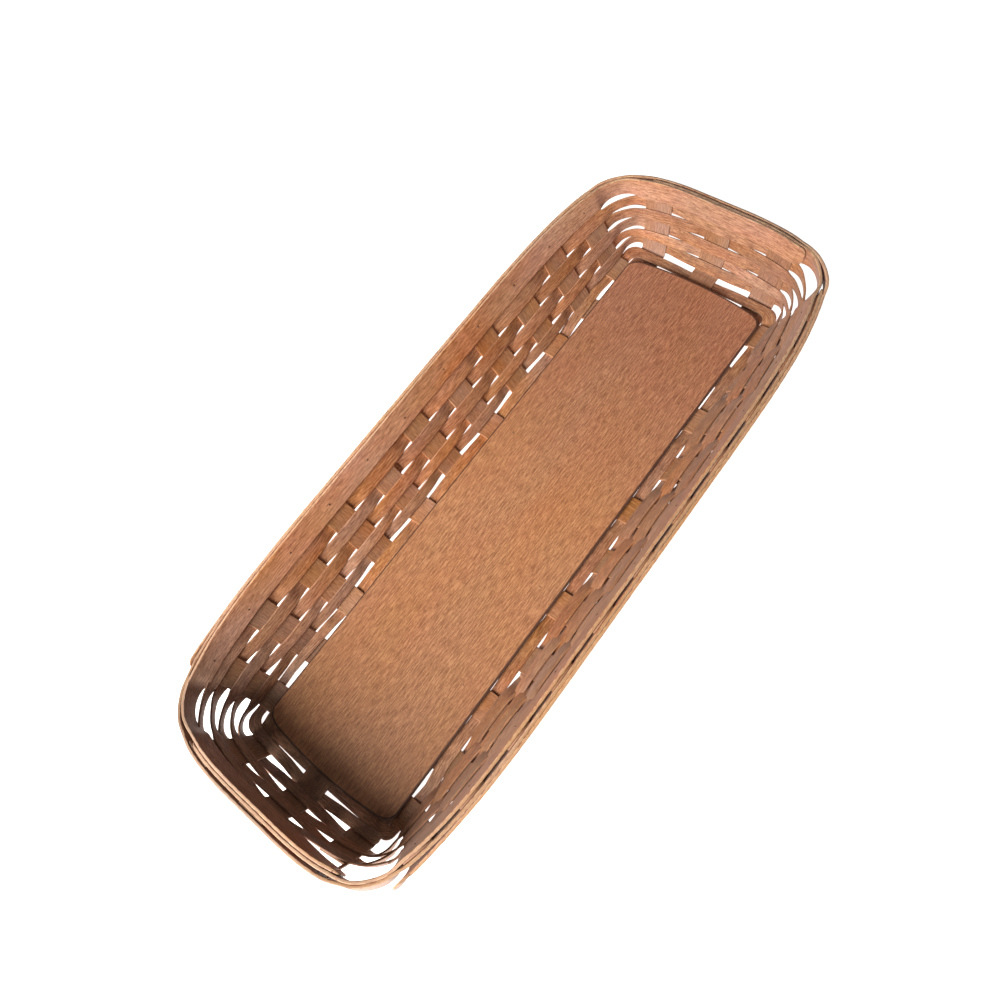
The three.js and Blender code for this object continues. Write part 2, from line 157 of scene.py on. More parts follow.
# Base and heel
BASE_END_GAP = 0.0078
BASE_SIDE_GAP = 0.002
BASE_CORNER = 0.005
BASE_ROW_RISE = 0.0006
HEEL_END_GAP = 0.003
HEEL_SIDE_GAP = 0.0008
HEEL_RISE = 0.00025
HEEL_TO_WEAVER = 0.0015

# Walls
SIDE_FLARE = math.radians(32.2)
END_FLARE = math.radians(19.6)
NEAR_END_BELLY = 0.007
FAR_END_BELLY = 0.0035
RIGHT_WALL_BELLY = 0.0041
BELLY_AT_FOOT = 0.35
BELLY_ABOVE = 0.75
BELLY_RISE = 0.62
BELLY_ROUND = 1.6
RIGHT_BELLY_RISE = 0.8
RIM_CORNER = 0.011
RIM_SIDE_BOW = 0.017
RIM_END_BOW = 0.016
SIDE_BOW_POWER = 6
END_BOW_POWER = 4

# Rim bands
BAND_WIDTH = 0.0166
BAND_THICKNESS = 0.002
BAND_FOOT_GAP = 0.0008
BAND_END = 0.009
BAND_STEPS = 9
BAND_CORNER_STEPS = 48
# More stations at both ends of a band lie within this share of a gap
BAND_END_SHARE = 0.12
BAND_END_STEPS = 14
# The top band lies a little closer than its solid, and its ends have sprung loose
BAND_TOP_INSET = 0.0002
SPRUNG_LENGTH = 0.05
SPRUNG_REACH = 0.0036
# At the corners the bands press together, and at the far right one they stand off the wall
CLOSING_LIFT = 0.0008
CLOSING_SHARES = (0.12, 0.32)
FAR_RIGHT_SWELL = 0.0012

# Board
BOARD_HALF_LENGTH = 0.2101
BOARD_HALF_WIDTH = 0.0541
BOARD_CORNER = 0.008
BOARD_END_BOW = 0.0045
BOARD_OFF_CENTRE = -0.00095
BOARD_EDGE = 0.0007
BOARD_WARP = 0.00012
BOARD_WARP_WAVES = (9, 30)
# How close to its outline the board's top counts as edge; this edge is painted near black as a shadow line
BOARD_MARKED = (0.994, 0.998)

# Tacks
TACK_RADIUS = 0.00065
TACK_RINGS = ((1.0, -0.35), (1.0, 0.05), (0.86, 0.24), (0.6, 0.38), (0.3, 0.45))
TACK_TOP = 0.47
TACK_SIDES = 14
BOARD_TACK_X = 0.0033
BOARD_TACK_Y = 0.0415
BOARD_TACK_STRAY = 0.0015
BOARD_TACK_SUNK = 0.0002
RIM_TACK_STRAY = 0.08
RIM_TACK_HEIGHT = (0.36, 0.52)
RIM_TACK_SUNK = 0.00005
# A direction that no tack has, and a step along the rim that gives its direction
ASIDE = (0.3, 0.8, 0.52)
AHEAD = 0.02

# Seeds of the pieces' unevenness, grain and tone
CROSS_STAKE_SEED = 100
LONG_STAKE_SEED = 300
WEAVER_SEED = 500
BAND_SEED = 700
BOARD_SEED = 900
TACK_SEED = 950
TACK_PLACES_SEED = 42
TONE_SEED = 77

# A splint's edges and faces: how round, ragged, uneven and pared at its ends it is
EDGE_ROUND = 0.00028
RAGGED, BAND_RAGGED = 0.00012, 0.0001
RAGGED_LENGTHS = (0.09, 0.07)
UNEVEN, STAKE_UNEVEN = 0.00006, 0.00003
UNEVEN_LENGTH = 0.11
WAVE_SHARES = (1.0, 0.61, 0.37)
END_THICKNESS = 0.55
END_CORNER = 0.45
# Steps of the grain map from a splint's front to its back, and from one seed to the next
GRAIN_BACK = 0.05
GRAIN_SHIFT = 1.37

# Wood: how many cells of noise there are in a metre along the grain and across it
LINES = (125, 1350)
STREAKS = (LINES[0] / 6, LINES[1] / 2)
PORES = (LINES[0] * 1.6, LINES[1] * 1.2)
FLECKS = (500, 1700)
ROSY = (22, 40)
RUBBED = (260, 700)
LINE_SHARE, STREAK_SHARE, FLECK_SHARE = 0.56, 0.1, 0.34
PORE_SHADE = 0.6
SHEEN = 0.1
# Between which values most of a noise lies
MOST = (0.3, 0.7)
# Where the noise turns dark, middle and light grain, and spans of noise with what they turn into
GRAIN_STOPS = (0.405, 0.5, 0.595)
PORE_MASK = (0.66, 0.78, 0, 0.35)
RUBBED_MASK = (0.42, 0.56, 0.05, 1)
BOARD_HUES = (0.35, 0.65, 0.502, 0.497)
SPLINT_HUES = (0.35, 0.65, 0.509, 0.499)
RICHNESS = 0.97

# Painted light and shade by place: spans along the basket (x) or across it (y), with what each is worth at
# their ends.
# Both ends are painted darker as shade, the near left corner gets a painted shadow, the left wall a painted
# light, and the far half is painted duller, the board's also rosier, as a sheen.
FAR_HALF_X = (0.02, 0.18, 0, 1)
FAR_DARK, FAR_HUE, FAR_DULL = 0.14, 0.009, 0.04
BOARD_LIGHT, SPLINT_LIGHT = 1.02, 1.04
BOARD_NEAR_X, BOARD_RIGHT_Y = (-0.2, -0.02, 0.27, 0), (-0.05, 0.05, 1.35, 1)
NEAR_END_X, NEAR_DARK, NEAR_DULL = -0.235, 0.31, 0.4
RIGHT_Y, LEFT_Y = (-0.06, 0, 0.5, 1), (0.02, 0.07, 0, 0.23)
FAR_END_X = (0.19, 0.23, 0, 0.13)
CORNER_X, CORNER_Y = (NEAR_END_X, -0.18, 0.48, 0), (0.04, 0.08, 0, 1)

# The photograph's camera: place, turn in degrees, focal length and middle as shares of the picture's width
CAMERA_PLACE = (-0.11144, -0.17828, 0.48085)
CAMERA_TURN = (21.6909, 10.1768, -52.3817)
CAMERA_FOCAL = 0.776506
CAMERA_SHIFT = (-0.00544, 0.01749)

# Floor, light and sky
FLOOR_SIZE = 8.0
FLOOR_DROP = 0.0001
FLOOR_GLOW = 0.95
KEY_PLACE = (-1.2, 0.0, 0.84)
KEY_SIZE = 0.9
KEY_POWER = 46
KEY_COLOUR = (1.0, 0.97, 0.93)
WORLD_STRENGTH = 0.15

BODY = "root"

cross_x = (np.arange(CROSS_STAKES) - (CROSS_STAKES - 1) / 2) * CROSS_PITCH
long_y = (np.arange(LONG_STAKES) - (LONG_STAKES - 1) / 2) * LONG_PITCH
base_lift = (STAKE_THICKNESS + CLEARANCE) / 2
base_weaver_lift = ((STAKE_THICKNESS + WEAVER_THICKNESS) / 2 + CLEARANCE) / 2
base_height = base_lift + STAKE_THICKNESS / 2


class Level(NamedTuple):
    """One closed outline of the stakes' middle surface, with the outward bow of its sides and ends."""

    z: float
    half_length: float
    half_width: float
    radius: float
    side_bow: float = 0.0
    end_bow: float = 0.0

    @property
    def quarter(self):
        return self.half_length + self.half_width - 2 * self.radius + self.radius * math.pi / 2

    def shrunk(self, by_length, by_width):
        return self._replace(half_length=self.half_length - by_length, half_width=self.half_width - by_width)


base_inner = Level(
    base_height,
    cross_x[-1] + STAKE_WIDTH / 2 + BASE_END_GAP,
    long_y[-1] + STAKE_WIDTH / 2 + BASE_SIDE_GAP,
    BASE_CORNER,
)
base_outer = Level(
    base_height + BASE_ROW_RISE,
    base_inner.half_length + BASE_ROW_WIDTH,
    base_inner.half_width + BASE_ROW_WIDTH,
    base_inner.radius + BASE_ROW_WIDTH / 2,
)
heel = Level(
    base_outer.z + HEEL_RISE,
    base_outer.half_length + HEEL_END_GAP,
    base_outer.half_width + HEEL_SIDE_GAP,
    base_outer.radius + HEEL_SIDE_GAP,
)
band_foot = HEEL_TO_WEAVER + sum(ROW_WIDTHS) + WEAVER_SPACING * len(ROW_WIDTHS)
wall_length = band_foot + BAND_WIDTH
wall_height = wall_length * math.cos(SIDE_FLARE)
rim = Level(
    heel.z + wall_height,
    heel.half_length + wall_height * math.tan(END_FLARE) - RIM_END_BOW,
    heel.half_width + wall_length * math.sin(SIDE_FLARE) - RIM_SIDE_BOW,
    RIM_CORNER,
    RIM_SIDE_BOW,
    RIM_END_BOW,
)


def wall_level(distance):
    """The outline at a distance up the slope of the long walls."""
    share = distance / wall_length
    return Level(*((1 - share) * low + share * high for low, high in zip(heel, rim)))


row_edges = HEEL_TO_WEAVER + np.cumsum([-WEAVER_SPACING / 2, *(w + WEAVER_SPACING for w in ROW_WIDTHS[::-1])])
band_low = wall_level(band_foot + WEAVER_SPACING + BAND_FOOT_GAP)
band_high = wall_level(wall_length)


def smooth(value, low, high):
    """Rises smoothly from 0 to 1 as a value goes from low to high."""
    share = np.clip((value - low) / (high - low), 0, 1)
    return share * share * (3 - 2 * share)


def distance_to(offset, half, radius):
    """Distance along an outline from the middle of a straight side to an offset along it."""
    straight = half - radius
    beyond = np.clip((np.abs(offset) - straight) / radius, 0, 1)
    return np.sign(offset) * (np.minimum(np.abs(offset), straight) + radius * np.arcsin(beyond))


def quarter_point(level, distance):
    """Points of a quarter outline at distances from the middle of its long side towards the end."""
    side = level.half_length - level.radius
    arc = level.radius * math.pi / 2
    angle = np.clip((distance - side) / level.radius, 0, math.pi / 2)
    x = np.minimum(distance, side) + level.radius * np.sin(angle)
    y = level.half_width - level.radius * (1 - np.cos(angle)) - np.maximum(distance - side - arc, 0)
    along = 1 - (x / level.half_length) ** SIDE_BOW_POWER
    across = 1 - (y / level.half_width) ** END_BOW_POWER
    return (
        x + x / level.half_length * level.end_bow * across,
        y + y / level.half_width * level.side_bow * along,
    )


def outline_point(level, distance):
    """Points at distances round an outline, clockwise from above from the middle of the +X end."""
    around = np.mod(distance, 4 * level.quarter)
    index = np.floor(around / level.quarter).astype(int)
    within = around - index * level.quarter
    x, y = quarter_point(level, np.where(index % 2 == 0, level.quarter - within, within))
    x = np.where((index == 0) | (index == 3), x, -x)
    y = np.where(index < 2, -y, y)
    return bellied(np.stack([x, y, np.full_like(x, level.z)], axis=-1))


def bellied(points):
    """Moves points of the walls out to where they belly: both ends, and the right long wall."""
    x, y, z = points[..., 0], points[..., 1], points[..., 2]
    up = np.clip((z - heel.z) / wall_height, 0, 1)
    across = np.maximum(0, 1 - (y / ((1 - up) * heel.half_width + up * rim.half_width)) ** 2)
    along = np.maximum(0, 1 - (x / ((1 - up) * heel.half_length + up * rim.half_length)) ** 4)
    end = smooth(np.abs(x), cross_x[-1] + STAKE_WIDTH / 2, base_inner.half_length)
    side = smooth(-y, long_y[-1] + STAKE_WIDTH / 2, base_inner.half_width)
    arch = np.maximum(0, np.sin(math.pi * up**BELLY_RISE)) ** BELLY_ROUND
    end_belly = np.where(x < 0, NEAR_END_BELLY, FAR_END_BELLY)
    end_belly *= BELLY_AT_FOOT * (1 - up) + BELLY_ABOVE * arch
    side_belly = RIGHT_WALL_BELLY * np.maximum(0, np.sin(math.pi * up**RIGHT_BELLY_RISE))
    return np.stack([x + np.sign(x) * end_belly * across * end, y - side_belly * along * side, z], axis=-1)


def fanned(offset, fan, z):
    """Stakes fan out a little towards the rim."""
    return offset * (1 + fan * max(0.0, z - heel.z) / wall_height)


UPRIGHTS = 2 * (CROSS_STAKES + LONG_STAKES)
# The uprights before the four corners, and how far the splints and the bands stand up after each upright
CORNERS = NEAR_RIGHT, NEAR_LEFT, FAR_LEFT, FAR_RIGHT = (
    CROSS_STAKES - 1,
    CROSS_STAKES + LONG_STAKES - 1,
    2 * CROSS_STAKES + LONG_STAKES - 1,
    UPRIGHTS - 1,
)
STANDS = np.zeros(UPRIGHTS)
STANDS[list(CORNERS)] = np.radians(list(CORNER_STAND.values()))
BAND_STANDS = STANDS.copy()
BAND_STANDS[NEAR_LEFT] *= NEAR_LEFT_BAND_STAND

# Where each band starts and finishes, and over which shares of a corner it steps between layers
INNER_LONG = NEAR_RIGHT + 0.72, FAR_RIGHT + 0.3
INNER_SHORT = FAR_LEFT - UPRIGHTS + 0.85, NEAR_LEFT + 0.15
OUTER_UNDER = FAR_RIGHT - UPRIGHTS + 0.7, FAR_LEFT + 0.25
OUTER_TOP = NEAR_LEFT + 0.85, NEAR_RIGHT + UPRIGHTS + 0.37
INNER_STEPS = {NEAR_LEFT: (0.17, 0.58), FAR_LEFT: (0.45, 0.83)}
OUTER_STEPS = {FAR_LEFT: (0.25, 0.6), FAR_RIGHT: (0.36, 0.7)}


def upright_distance(level, number):
    """Distance round an outline to each numbered upright, which run on past a full turn."""
    side = distance_to(fanned(cross_x, CROSS_FAN, level.z), level.half_length, level.radius)
    end = distance_to(fanned(long_y, LONG_FAN, level.z), level.half_width, level.radius)
    first = [level.quarter + side, 2 * level.quarter + end, 3 * level.quarter + side, 4 * level.quarter + end]
    return np.concatenate(first)[np.mod(number, UPRIGHTS)] + number // UPRIGHTS * 4 * level.quarter


def ring_at(level, place):
    """Distance round an outline to a place."""
    number = np.floor(place).astype(int)
    here = upright_distance(level, number)
    return here + (place - number) * (upright_distance(level, number + 1) - here)


def by_place(place, table):
    """What a table of places and values says at places in any turn round the basket."""
    return np.interp(np.mod(place, UPRIGHTS), *table)


def wave(along, seed, length, size):
    """A smooth uneven line, the same on every run: three sines of nearby lengths with seeded phases."""
    rng = np.random.default_rng(seed)
    total = np.zeros_like(along)
    for share in WAVE_SHARES:
        total += np.sin(2 * math.pi * along / (length * share) + rng.uniform(0, 2 * math.pi))
    return size * total / len(WAVE_SHARES)


def stand_up(rows, turn, pivot):
    """Turns each station of a splint, low and high edge, towards upright about a place across it."""
    low, high = rows[:, 0], rows[:, 1]
    across = high - low
    width = np.linalg.norm(across, axis=1, keepdims=True)
    outward = np.cross(across, np.gradient((low + high) / 2, axis=0))
    outward /= np.linalg.norm(outward, axis=1, keepdims=True)
    turned = across * np.cos(turn)[:, None] - outward * width * np.sin(turn)[:, None]
    still = low + pivot * across
    return np.stack([still - pivot * turned, still + (1 - pivot) * turned], axis=1)


# A splint's section as (anchor across, offset from it, height as a share of half the thickness, edge mark).
# The support points beside each rounded edge keep the faces flat.
FACE_SECTION = [
    (0, EDGE_ROUND, 1, 0),
    (0, 3 * EDGE_ROUND, 1, 0),
    (0.25, 0, 1, 0),
    (0.5, 0, 1, 0),
    (0.75, 0, 1, 0),
    (1, -3 * EDGE_ROUND, 1, 0),
    (1, -EDGE_ROUND, 1, 0.2),
]
EDGE_SECTION = [
    (1, -0.3 * EDGE_ROUND, 0.86, 1),
    (1, 0, 0.5, 1),
    (1, 0, -0.5, 1),
    (1, -0.3 * EDGE_ROUND, -0.86, 1),
]


def mirrored(section):
    """The same points of a section on its other side."""
    return [(1 - anchor, -offset, -height, mark) for anchor, offset, height, mark in section]


SECTION = FACE_SECTION + EDGE_SECTION + mirrored(FACE_SECTION) + mirrored(EDGE_SECTION)


def pared(run, half, length):
    """How far both corners are cut back at a splint's ends, and its half thickness, thinner there."""
    to_end = np.minimum(run, run[-1] - run)
    corner = length * END_CORNER
    cut = corner - np.sqrt(np.maximum(corner**2 - np.maximum(corner - to_end, 0) ** 2, 0))
    return cut, half * (END_THICKNESS + (1 - END_THICKNESS) * smooth(to_end / length, 0, 1))


def splint(name, rows, lift, thickness, seed, end=0.0, ragged=RAGGED, uneven=UNEVEN):
    """A splint's mesh from points across it at each station, from its low edge to its high edge.

    `rows` is stations by points across by 3; `lift` is how far each station stands off along the normal;
    `end` is the length over which the splint is pared thinner and rounder at both ends.
    """
    low, high = rows[:, 0], rows[:, -1]
    middle = (low + high) / 2
    normal = np.cross(high - low, np.gradient(middle, axis=0))
    normal /= np.linalg.norm(normal, axis=1, keepdims=True)
    width = np.linalg.norm(high - low, axis=1)
    run = np.concatenate([[0], np.cumsum(np.linalg.norm(np.diff(middle, axis=0), axis=1))])

    low_cut = wave(run, seed + 1, RAGGED_LENGTHS[0], ragged)
    high_cut = wave(run, seed + 2, RAGGED_LENGTHS[1], ragged)
    lift = lift + wave(run, seed + 3, UNEVEN_LENGTH, uneven)
    half = np.full_like(run, thickness / 2)
    if end:
        cut, half = pared(run, half, end)
        low_cut += cut
        high_cut += cut

    across = np.linspace(0, 1, rows.shape[1])
    station = np.arange(len(rows))
    points, grain, marks = [], [], []
    for anchor, offset, height, mark in SECTION:
        inside = (low_cut + anchor * (width - low_cut - high_cut) + offset) / width
        lane = np.clip(np.searchsorted(across, inside) - 1, 0, rows.shape[1] - 2)
        share = ((inside - across[lane]) / (across[lane + 1] - across[lane]))[:, None]
        base = rows[station, lane] * (1 - share) + rows[station, lane + 1] * share
        points.append(base + normal * (lift + height * half)[:, None])
        back = 0 if height > 0 else GRAIN_BACK
        grain.append(np.stack([run + seed * GRAIN_SHIFT, inside * width + back], axis=-1))
        marks.append(np.full(len(rows), float(mark)))
    points = np.stack(points, axis=1)
    points[..., 2] = np.maximum(points[..., 2], cad_low.z)

    stations, ring = points.shape[:2]
    index = np.arange(stations * ring).reshape(stations, ring)
    following = np.roll(index, -1, axis=1)
    quads = np.stack([index[:-1], index[1:], following[1:], following[:-1]], axis=-1)
    faces = [*quads.reshape(-1, 4).tolist(), index[0].tolist(), index[-1, ::-1].tolist()]
    grain = np.stack(grain, axis=1).reshape(-1, 2)
    return make_mesh(name, points.reshape(-1, 3), faces, grain, np.stack(marks, axis=1).ravel(), seed)


def make_mesh(name, points, faces, grain, marks, seed):
    """An object with a grain map, an edge mark on each point and its own tone."""
    mesh = bpy.data.meshes.new(name)
    mesh.from_pydata(points.tolist(), [], faces)
    mesh.update()
    corners = np.empty(len(mesh.loops), dtype=np.int32)
    mesh.loops.foreach_get("vertex_index", corners)
    layer = mesh.uv_layers.new(name="grain")
    layer.data.foreach_set("uv", grain[corners].astype(np.float32).ravel())
    tone = np.random.default_rng(seed + TONE_SEED).uniform(0, 1)
    for kind, values in (("edge", marks), ("tone", np.full(len(points), tone))):
        mesh.attributes.new(kind, "FLOAT", "POINT").data.foreach_set("value", values.astype(np.float32))
    mesh.shade_smooth()
    return link(name, mesh)


def link(name, data):
    """An object in the scene."""
    obj = bpy.data.objects.new(name, data)
    bpy.context.scene.collection.objects.link(obj)
    return obj


def finish_piece(obj, material, node=None):
    """Gives a piece its material and slot, makes it ride, and hides the solid that it stands for."""
    obj.data.materials.append(material)
    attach(obj, BODY)
    if node:
        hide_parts(node)


def monotone(knots, values, at):
    """Smooth curves through values at rising knots that never swing past them."""
    step = np.diff(knots)[:, None]
    slope = np.diff(values, axis=0) / step
    tangent = np.zeros_like(values)
    tangent[0], tangent[-1] = slope[0], slope[-1]
    same = slope[:-1] * slope[1:] > 0
    near, far = 2 * step[1:] + step[:-1], step[1:] + 2 * step[:-1]
    with np.errstate(divide="ignore", invalid="ignore"):
        mean = (near + far) / (near / slope[:-1] + far / slope[1:])
    tangent[1:-1] = np.where(same, mean, 0)
    index = np.clip(np.searchsorted(knots, at, side="right") - 1, 0, len(knots) - 2)
    h = step[index]
    t = ((at - knots[index]) / h[:, 0])[:, None]
    return (
        (1 + 2 * t) * (1 - t) ** 2 * values[index]
        + t * (1 - t) ** 2 * h * tangent[index]
        + t * t * (3 - 2 * t) * values[index + 1]
        + t * t * (t - 1) * h * tangent[index + 1]
    )


def stake_half(base, fan, turn, reach_of, others, first):
    """Stations from the middle of the base to a stake's tip, as rows of (across, reach, height, lift).

    `turn` is which way its sides count, `others` the stakes that it crosses on the way, and `first` whether
    it passes over (1) or under (-1) the first of them.
    """
    stations = []

    def add(level, reach, lift):
        z = level.z if level else base_height
        edges = [fanned(base, fan, z) + turn * side * STAKE_WIDTH / 2 for side in STAKE_SIDES]
        reaches = [reach_of(level, edge) - reach if level else reach for edge in edges]
        stations.append([(edge, r, z, lift) for edge, r in zip(edges, reaches)])

    for index, at in enumerate(others):
        lift = first * (-1) ** index * base_lift
        if at > 0:
            add(None, at - SEAT_EDGE, lift)
        add(None, at + STAKE_WIDTH / 2 + CLEARANCE, lift)
    add(base_inner, CLEARANCE, first * base_weaver_lift)
    add(base_outer, 0, first * base_weaver_lift)
    add(heel, 0, first * base_weaver_lift / 2)
    for distance in (*row_edges, wall_length - STAKE_BELOW_RIM):
        add(wall_level(distance), 0, 0)
    return np.array(stations)


def side_reach(level, x):
    """How far out a long wall's outline lies at a place along it."""
    return quarter_point(level, distance_to(abs(x), level.half_length, level.radius))[1]


def end_reach(level, y):
    """How far out an end wall's outline lies at a place across it."""
    return quarter_point(level, level.quarter - distance_to(abs(y), level.half_width, level.radius))[0]


def broken(stations):
    """Narrows a stake to a sliver on the corner side of the near wall, above where its tip broke off."""
    middle = stations[:, len(STAKE_SIDES) // 2]
    above = (middle[:, 1] < 0) & (middle[:, 2] > wall_level(BROKEN_AT).z)
    corner_edge = stations[above][:, -1:]
    stations[above] = corner_edge + SLIVER * (stations[above] - corner_edge)


def stake(node, half, axes, seed, material):
    """Both halves of a stake as one smooth splint; `axes` orders (across, reach, height) as x, y, z."""
    other = half[::-1].copy()
    other[..., 1] *= -1
    whole = np.concatenate([other, half])
    middle = whole[:, len(STAKE_SIDES) // 2, :3]
    knots = np.concatenate([[0], np.cumsum(np.linalg.norm(np.diff(middle, axis=0), axis=1))])
    at = np.linspace(0, knots[-1], int(knots[-1] / STAKE_STEP))
    stations = monotone(knots, whole.reshape(len(whole), -1), at).reshape(len(at), len(STAKE_SIDES), 4)
    if node == BROKEN_STAKE:
        broken(stations)
    rows = bellied(stations[..., axes])
    made = splint(f"splint_{node}", rows, stations[:, 0, 3], STAKE_THICKNESS, seed, uneven=STAKE_UNEVEN)
    finish_piece(made, material, node)


def make_stakes(material):
    """The cross stakes and the long stakes, each woven through the others in the base."""
    for index, base in enumerate(cross_x):
        half = stake_half(base, CROSS_FAN, 1, side_reach, long_y[LONG_STAKES // 2 :], (-1) ** index)
        stake(f"cross_stake_{index + 1:02d}", half, [0, 1, 2], CROSS_STAKE_SEED + 10 * index, material)
    for index, (base, side) in enumerate(zip(long_y, ("right", "middle", "left"))):
        half = stake_half(base, LONG_FAN, -1, end_reach, cross_x[CROSS_STAKES // 2 :], (-1) ** (index + 1))
        stake(f"long_stake_{side}", half, [1, 0, 2], LONG_STAKE_SEED + 10 * index, material)


class Stations(NamedTuple):
    """Stations along a row: upright number, and share of the way across it, from -1 to 1, or of its gap."""

    number: np.ndarray
    on_stake: np.ndarray
    share: np.ndarray

    def distances(self, level):
        """Distance round an outline to each station, and the length of the gap after its upright."""
        here = upright_distance(level, self.number)
        gap = upright_distance(level, self.number + 1) - here - 2 * SEAT_EDGE
        return here + np.where(self.on_stake, self.share * SEAT_EDGE, SEAT_EDGE + self.share * gap), gap

    @property
    def place(self):
        """Roughly the stations' places, as the tables count them."""
        in_gap = self.number + GAP_FROM + (1 - 2 * GAP_FROM) * self.share
        return np.where(self.on_stake, self.number + self.share * SEAT_EDGE / CROSS_PITCH, in_gap)


def row_stations(row):
    """Stations all along a row, closer together at the corners."""
    first, last, start, stop = ROW_SPANS[row - 1]
    places = [(first - 1, False, share) for share in np.linspace(start, 1, START_STEPS + 1)[:-1]]
    for number in range(first, last + 1):
        steps = CORNER_STEPS if number % UPRIGHTS in CORNERS else GAP_STEPS
        places += [(number, True, share) for share in ON_STAKE]
        places += [(number, False, share) for share in np.linspace(0, 1, steps + 1)[1:-1]]
    if stop is None:
        places = [p for p in places if p[0] < last or (p[1] and p[2] <= 0)]
    else:
        places = [p for p in places if p[0] < last or p[1] or p[2] <= stop]
    return Stations(*(np.array(values) for values in zip(*places)))


def woven_lift(row, at, gap, seat_lift, bulge_lift):
    """How far a row stands off: arched over the uprights in turn, on a smooth curve through the gaps."""
    turn = math.acos(seat_lift / bulge_lift) / SEAT_EDGE
    slope = -bulge_lift * turn * math.sin(turn * SEAT_EDGE)
    outside = np.where((row + at.number) % 2 == 0, 1, -1)
    s = at.share + outside * DIVE * np.sin(math.pi * np.clip(at.share, 0, 1)) ** 2
    through = (
        seat_lift * ((1 + 2 * s) * (1 - s) ** 2 - s * s * (3 - 2 * s))
        + gap * slope * (s * (1 - s) ** 2 + s * s * (s - 1))
    )
    return outside * np.where(at.on_stake, bulge_lift * np.cos(turn * at.share * SEAT_EDGE), through)


def lap_lift(row, at):
    """How far a row's first end stands over its last one, which it laps."""
    first = ROW_SPANS[row - 1][0]
    over = WEAVER_THICKNESS * (1 if (row + first) % 2 == 0 else -1)
    after = np.where((at.number == first) & ~at.on_stake, 1 - smooth(at.share, LAP_STOP, 1), 0)
    return over * np.where((at.number < first) | ((at.number == first) & at.on_stake), 1, after)


def weaver(row, low, high, seat_lift, bulge_lift, material):
    """A weaver in and out round the basket between two outlines."""
    at = row_stations(row)
    (low_at, low_gap), (high_at, high_gap) = at.distances(low), at.distances(high)
    lift = woven_lift(row, at, (low_gap + high_gap) / 2, seat_lift, bulge_lift)
    rows = np.stack([outline_point(low, low_at), outline_point(high, high_at)], axis=1)
    if row == BASE_ROW:
        reach = 0
        climb = np.interp(at.place, *BASE_STRAY)
        on_wall = np.interp(at.place, *BASE_CLIMB, right=0)
        levels = heel.shrunk(*BASE_CLIMB_INSET), wall_level(BASE_CLIMB_TOP)
        wall = [outline_point(level, at.distances(level)[0]) for level in levels]
        rows += (np.stack(wall, axis=1) - rows) * on_wall[:, None, None]
        lift = lift * (1 + BASE_CLIMB_FULLNESS * on_wall)
    else:
        if row > 1:
            lift = lift + lap_lift(row, at)
        fullness = by_place(at.place, FULLNESS)
        behind = BEHIND_REACH * (fullness - 1) * np.clip(lift / bulge_lift, 0, 1)
        lift = lift * fullness
        reach = by_place(at.place, REACH) + behind
        climb = by_place(at.place, CLIMB) * (LOWEST_CLIMB if row == len(ROW_WIDTHS) else 1)

    upward = rows[:, 1] - rows[:, 0]
    upward /= np.linalg.norm(upward, axis=1, keepdims=True)
    at_corner = ~at.on_stake & np.isin(at.number % UPRIGHTS, CORNERS)
    tucked = np.where(at_corner, 0, TOP_ROW_REACH if row == 1 else 0)
    rows[:, 0] += upward * (climb - reach)[:, None]
    rows[:, 1] += upward * (climb + reach + tucked)[:, None]
    if row != BASE_ROW:
        swing = np.sin(math.pi * np.clip(at.share, 0, 1)) ** STAND_ROUND
        rows = stand_up(rows, np.where(at.on_stake, 0, STANDS[at.number % UPRIGHTS] * swing), pivot=0.5)
    node = f"weaver_row_{row}"
    made = splint(f"splint_{node}", rows, lift, WEAVER_THICKNESS, WEAVER_SEED + 20 * row, end=WEAVER_END)
    finish_piece(made, material, node)


def make_weavers(material):
    """Five rows on the walls and one that lies almost flat round the base."""
    slope = band_foot
    for row, width in enumerate(ROW_WIDTHS, start=1):
        weaver(row, wall_level(slope - width), wall_level(slope), PRESSED_SEAT, PRESSED_BULGE, material)
        slope -= width + WEAVER_SPACING
    # Almost no bulge: on the base the stakes bend round the row, not the row round them
    lifts = base_weaver_lift, base_weaver_lift * 1.0001
    weaver(BASE_ROW, base_inner.shrunk(*BASE_ROW_INSET), base_outer, *lifts, material)


def layer_lift(layer):
    """Layers of the rim, counted from the stakes; inner ones are negative."""
    first = STAKE_THICKNESS / 2 + CLEARANCE / 2 + BAND_THICKNESS / 2
    return math.copysign(first + (abs(layer) - 1) * (BAND_THICKNESS + CLEARANCE), layer)


def closing(place):
    """How far the bands press together at places round the basket: only between the stakes of a corner."""
    number = np.floor(place).astype(int)
    share = place - number
    at_corner = np.isin(number % UPRIGHTS, CORNERS)
    return np.where(at_corner, smooth(np.minimum(share, 1 - share), *CLOSING_SHARES), 0)


def stepping(place, steps, corner, first, second):
    """The lift of a band that steps from one layer to another round a corner."""
    start, stop = steps[corner]
    share = smooth(place, corner + start, corner + stop)
    return (1 - share) * layer_lift(first) + share * layer_lift(second)


def band_turn(place):
    """How far a band stands up at places round the basket.

    It does so between the stakes of a corner, and past the near right one, where the top row is missing, it
    only slowly lies back on the wall.
    """
    number = np.floor(place).astype(int)
    here = upright_distance(band_high, number)
    seat_share = SEAT_EDGE / (upright_distance(band_high, number + 1) - here)
    share = np.clip((place - number - seat_share) / (1 - 2 * seat_share), 0, 1)
    turn = BAND_STANDS[number % UPRIGHTS] * np.sin(math.pi * share)
    beyond = np.mod(place, UPRIGHTS) - NEAR_RIGHT - 0.5
    fading = BAND_STANDS[NEAR_RIGHT] * np.cos(math.pi / 2 * np.clip(beyond / STAND_FADE, 0, 1)) ** 2
    return np.where(beyond > 0, np.maximum(turn, fading), turn)


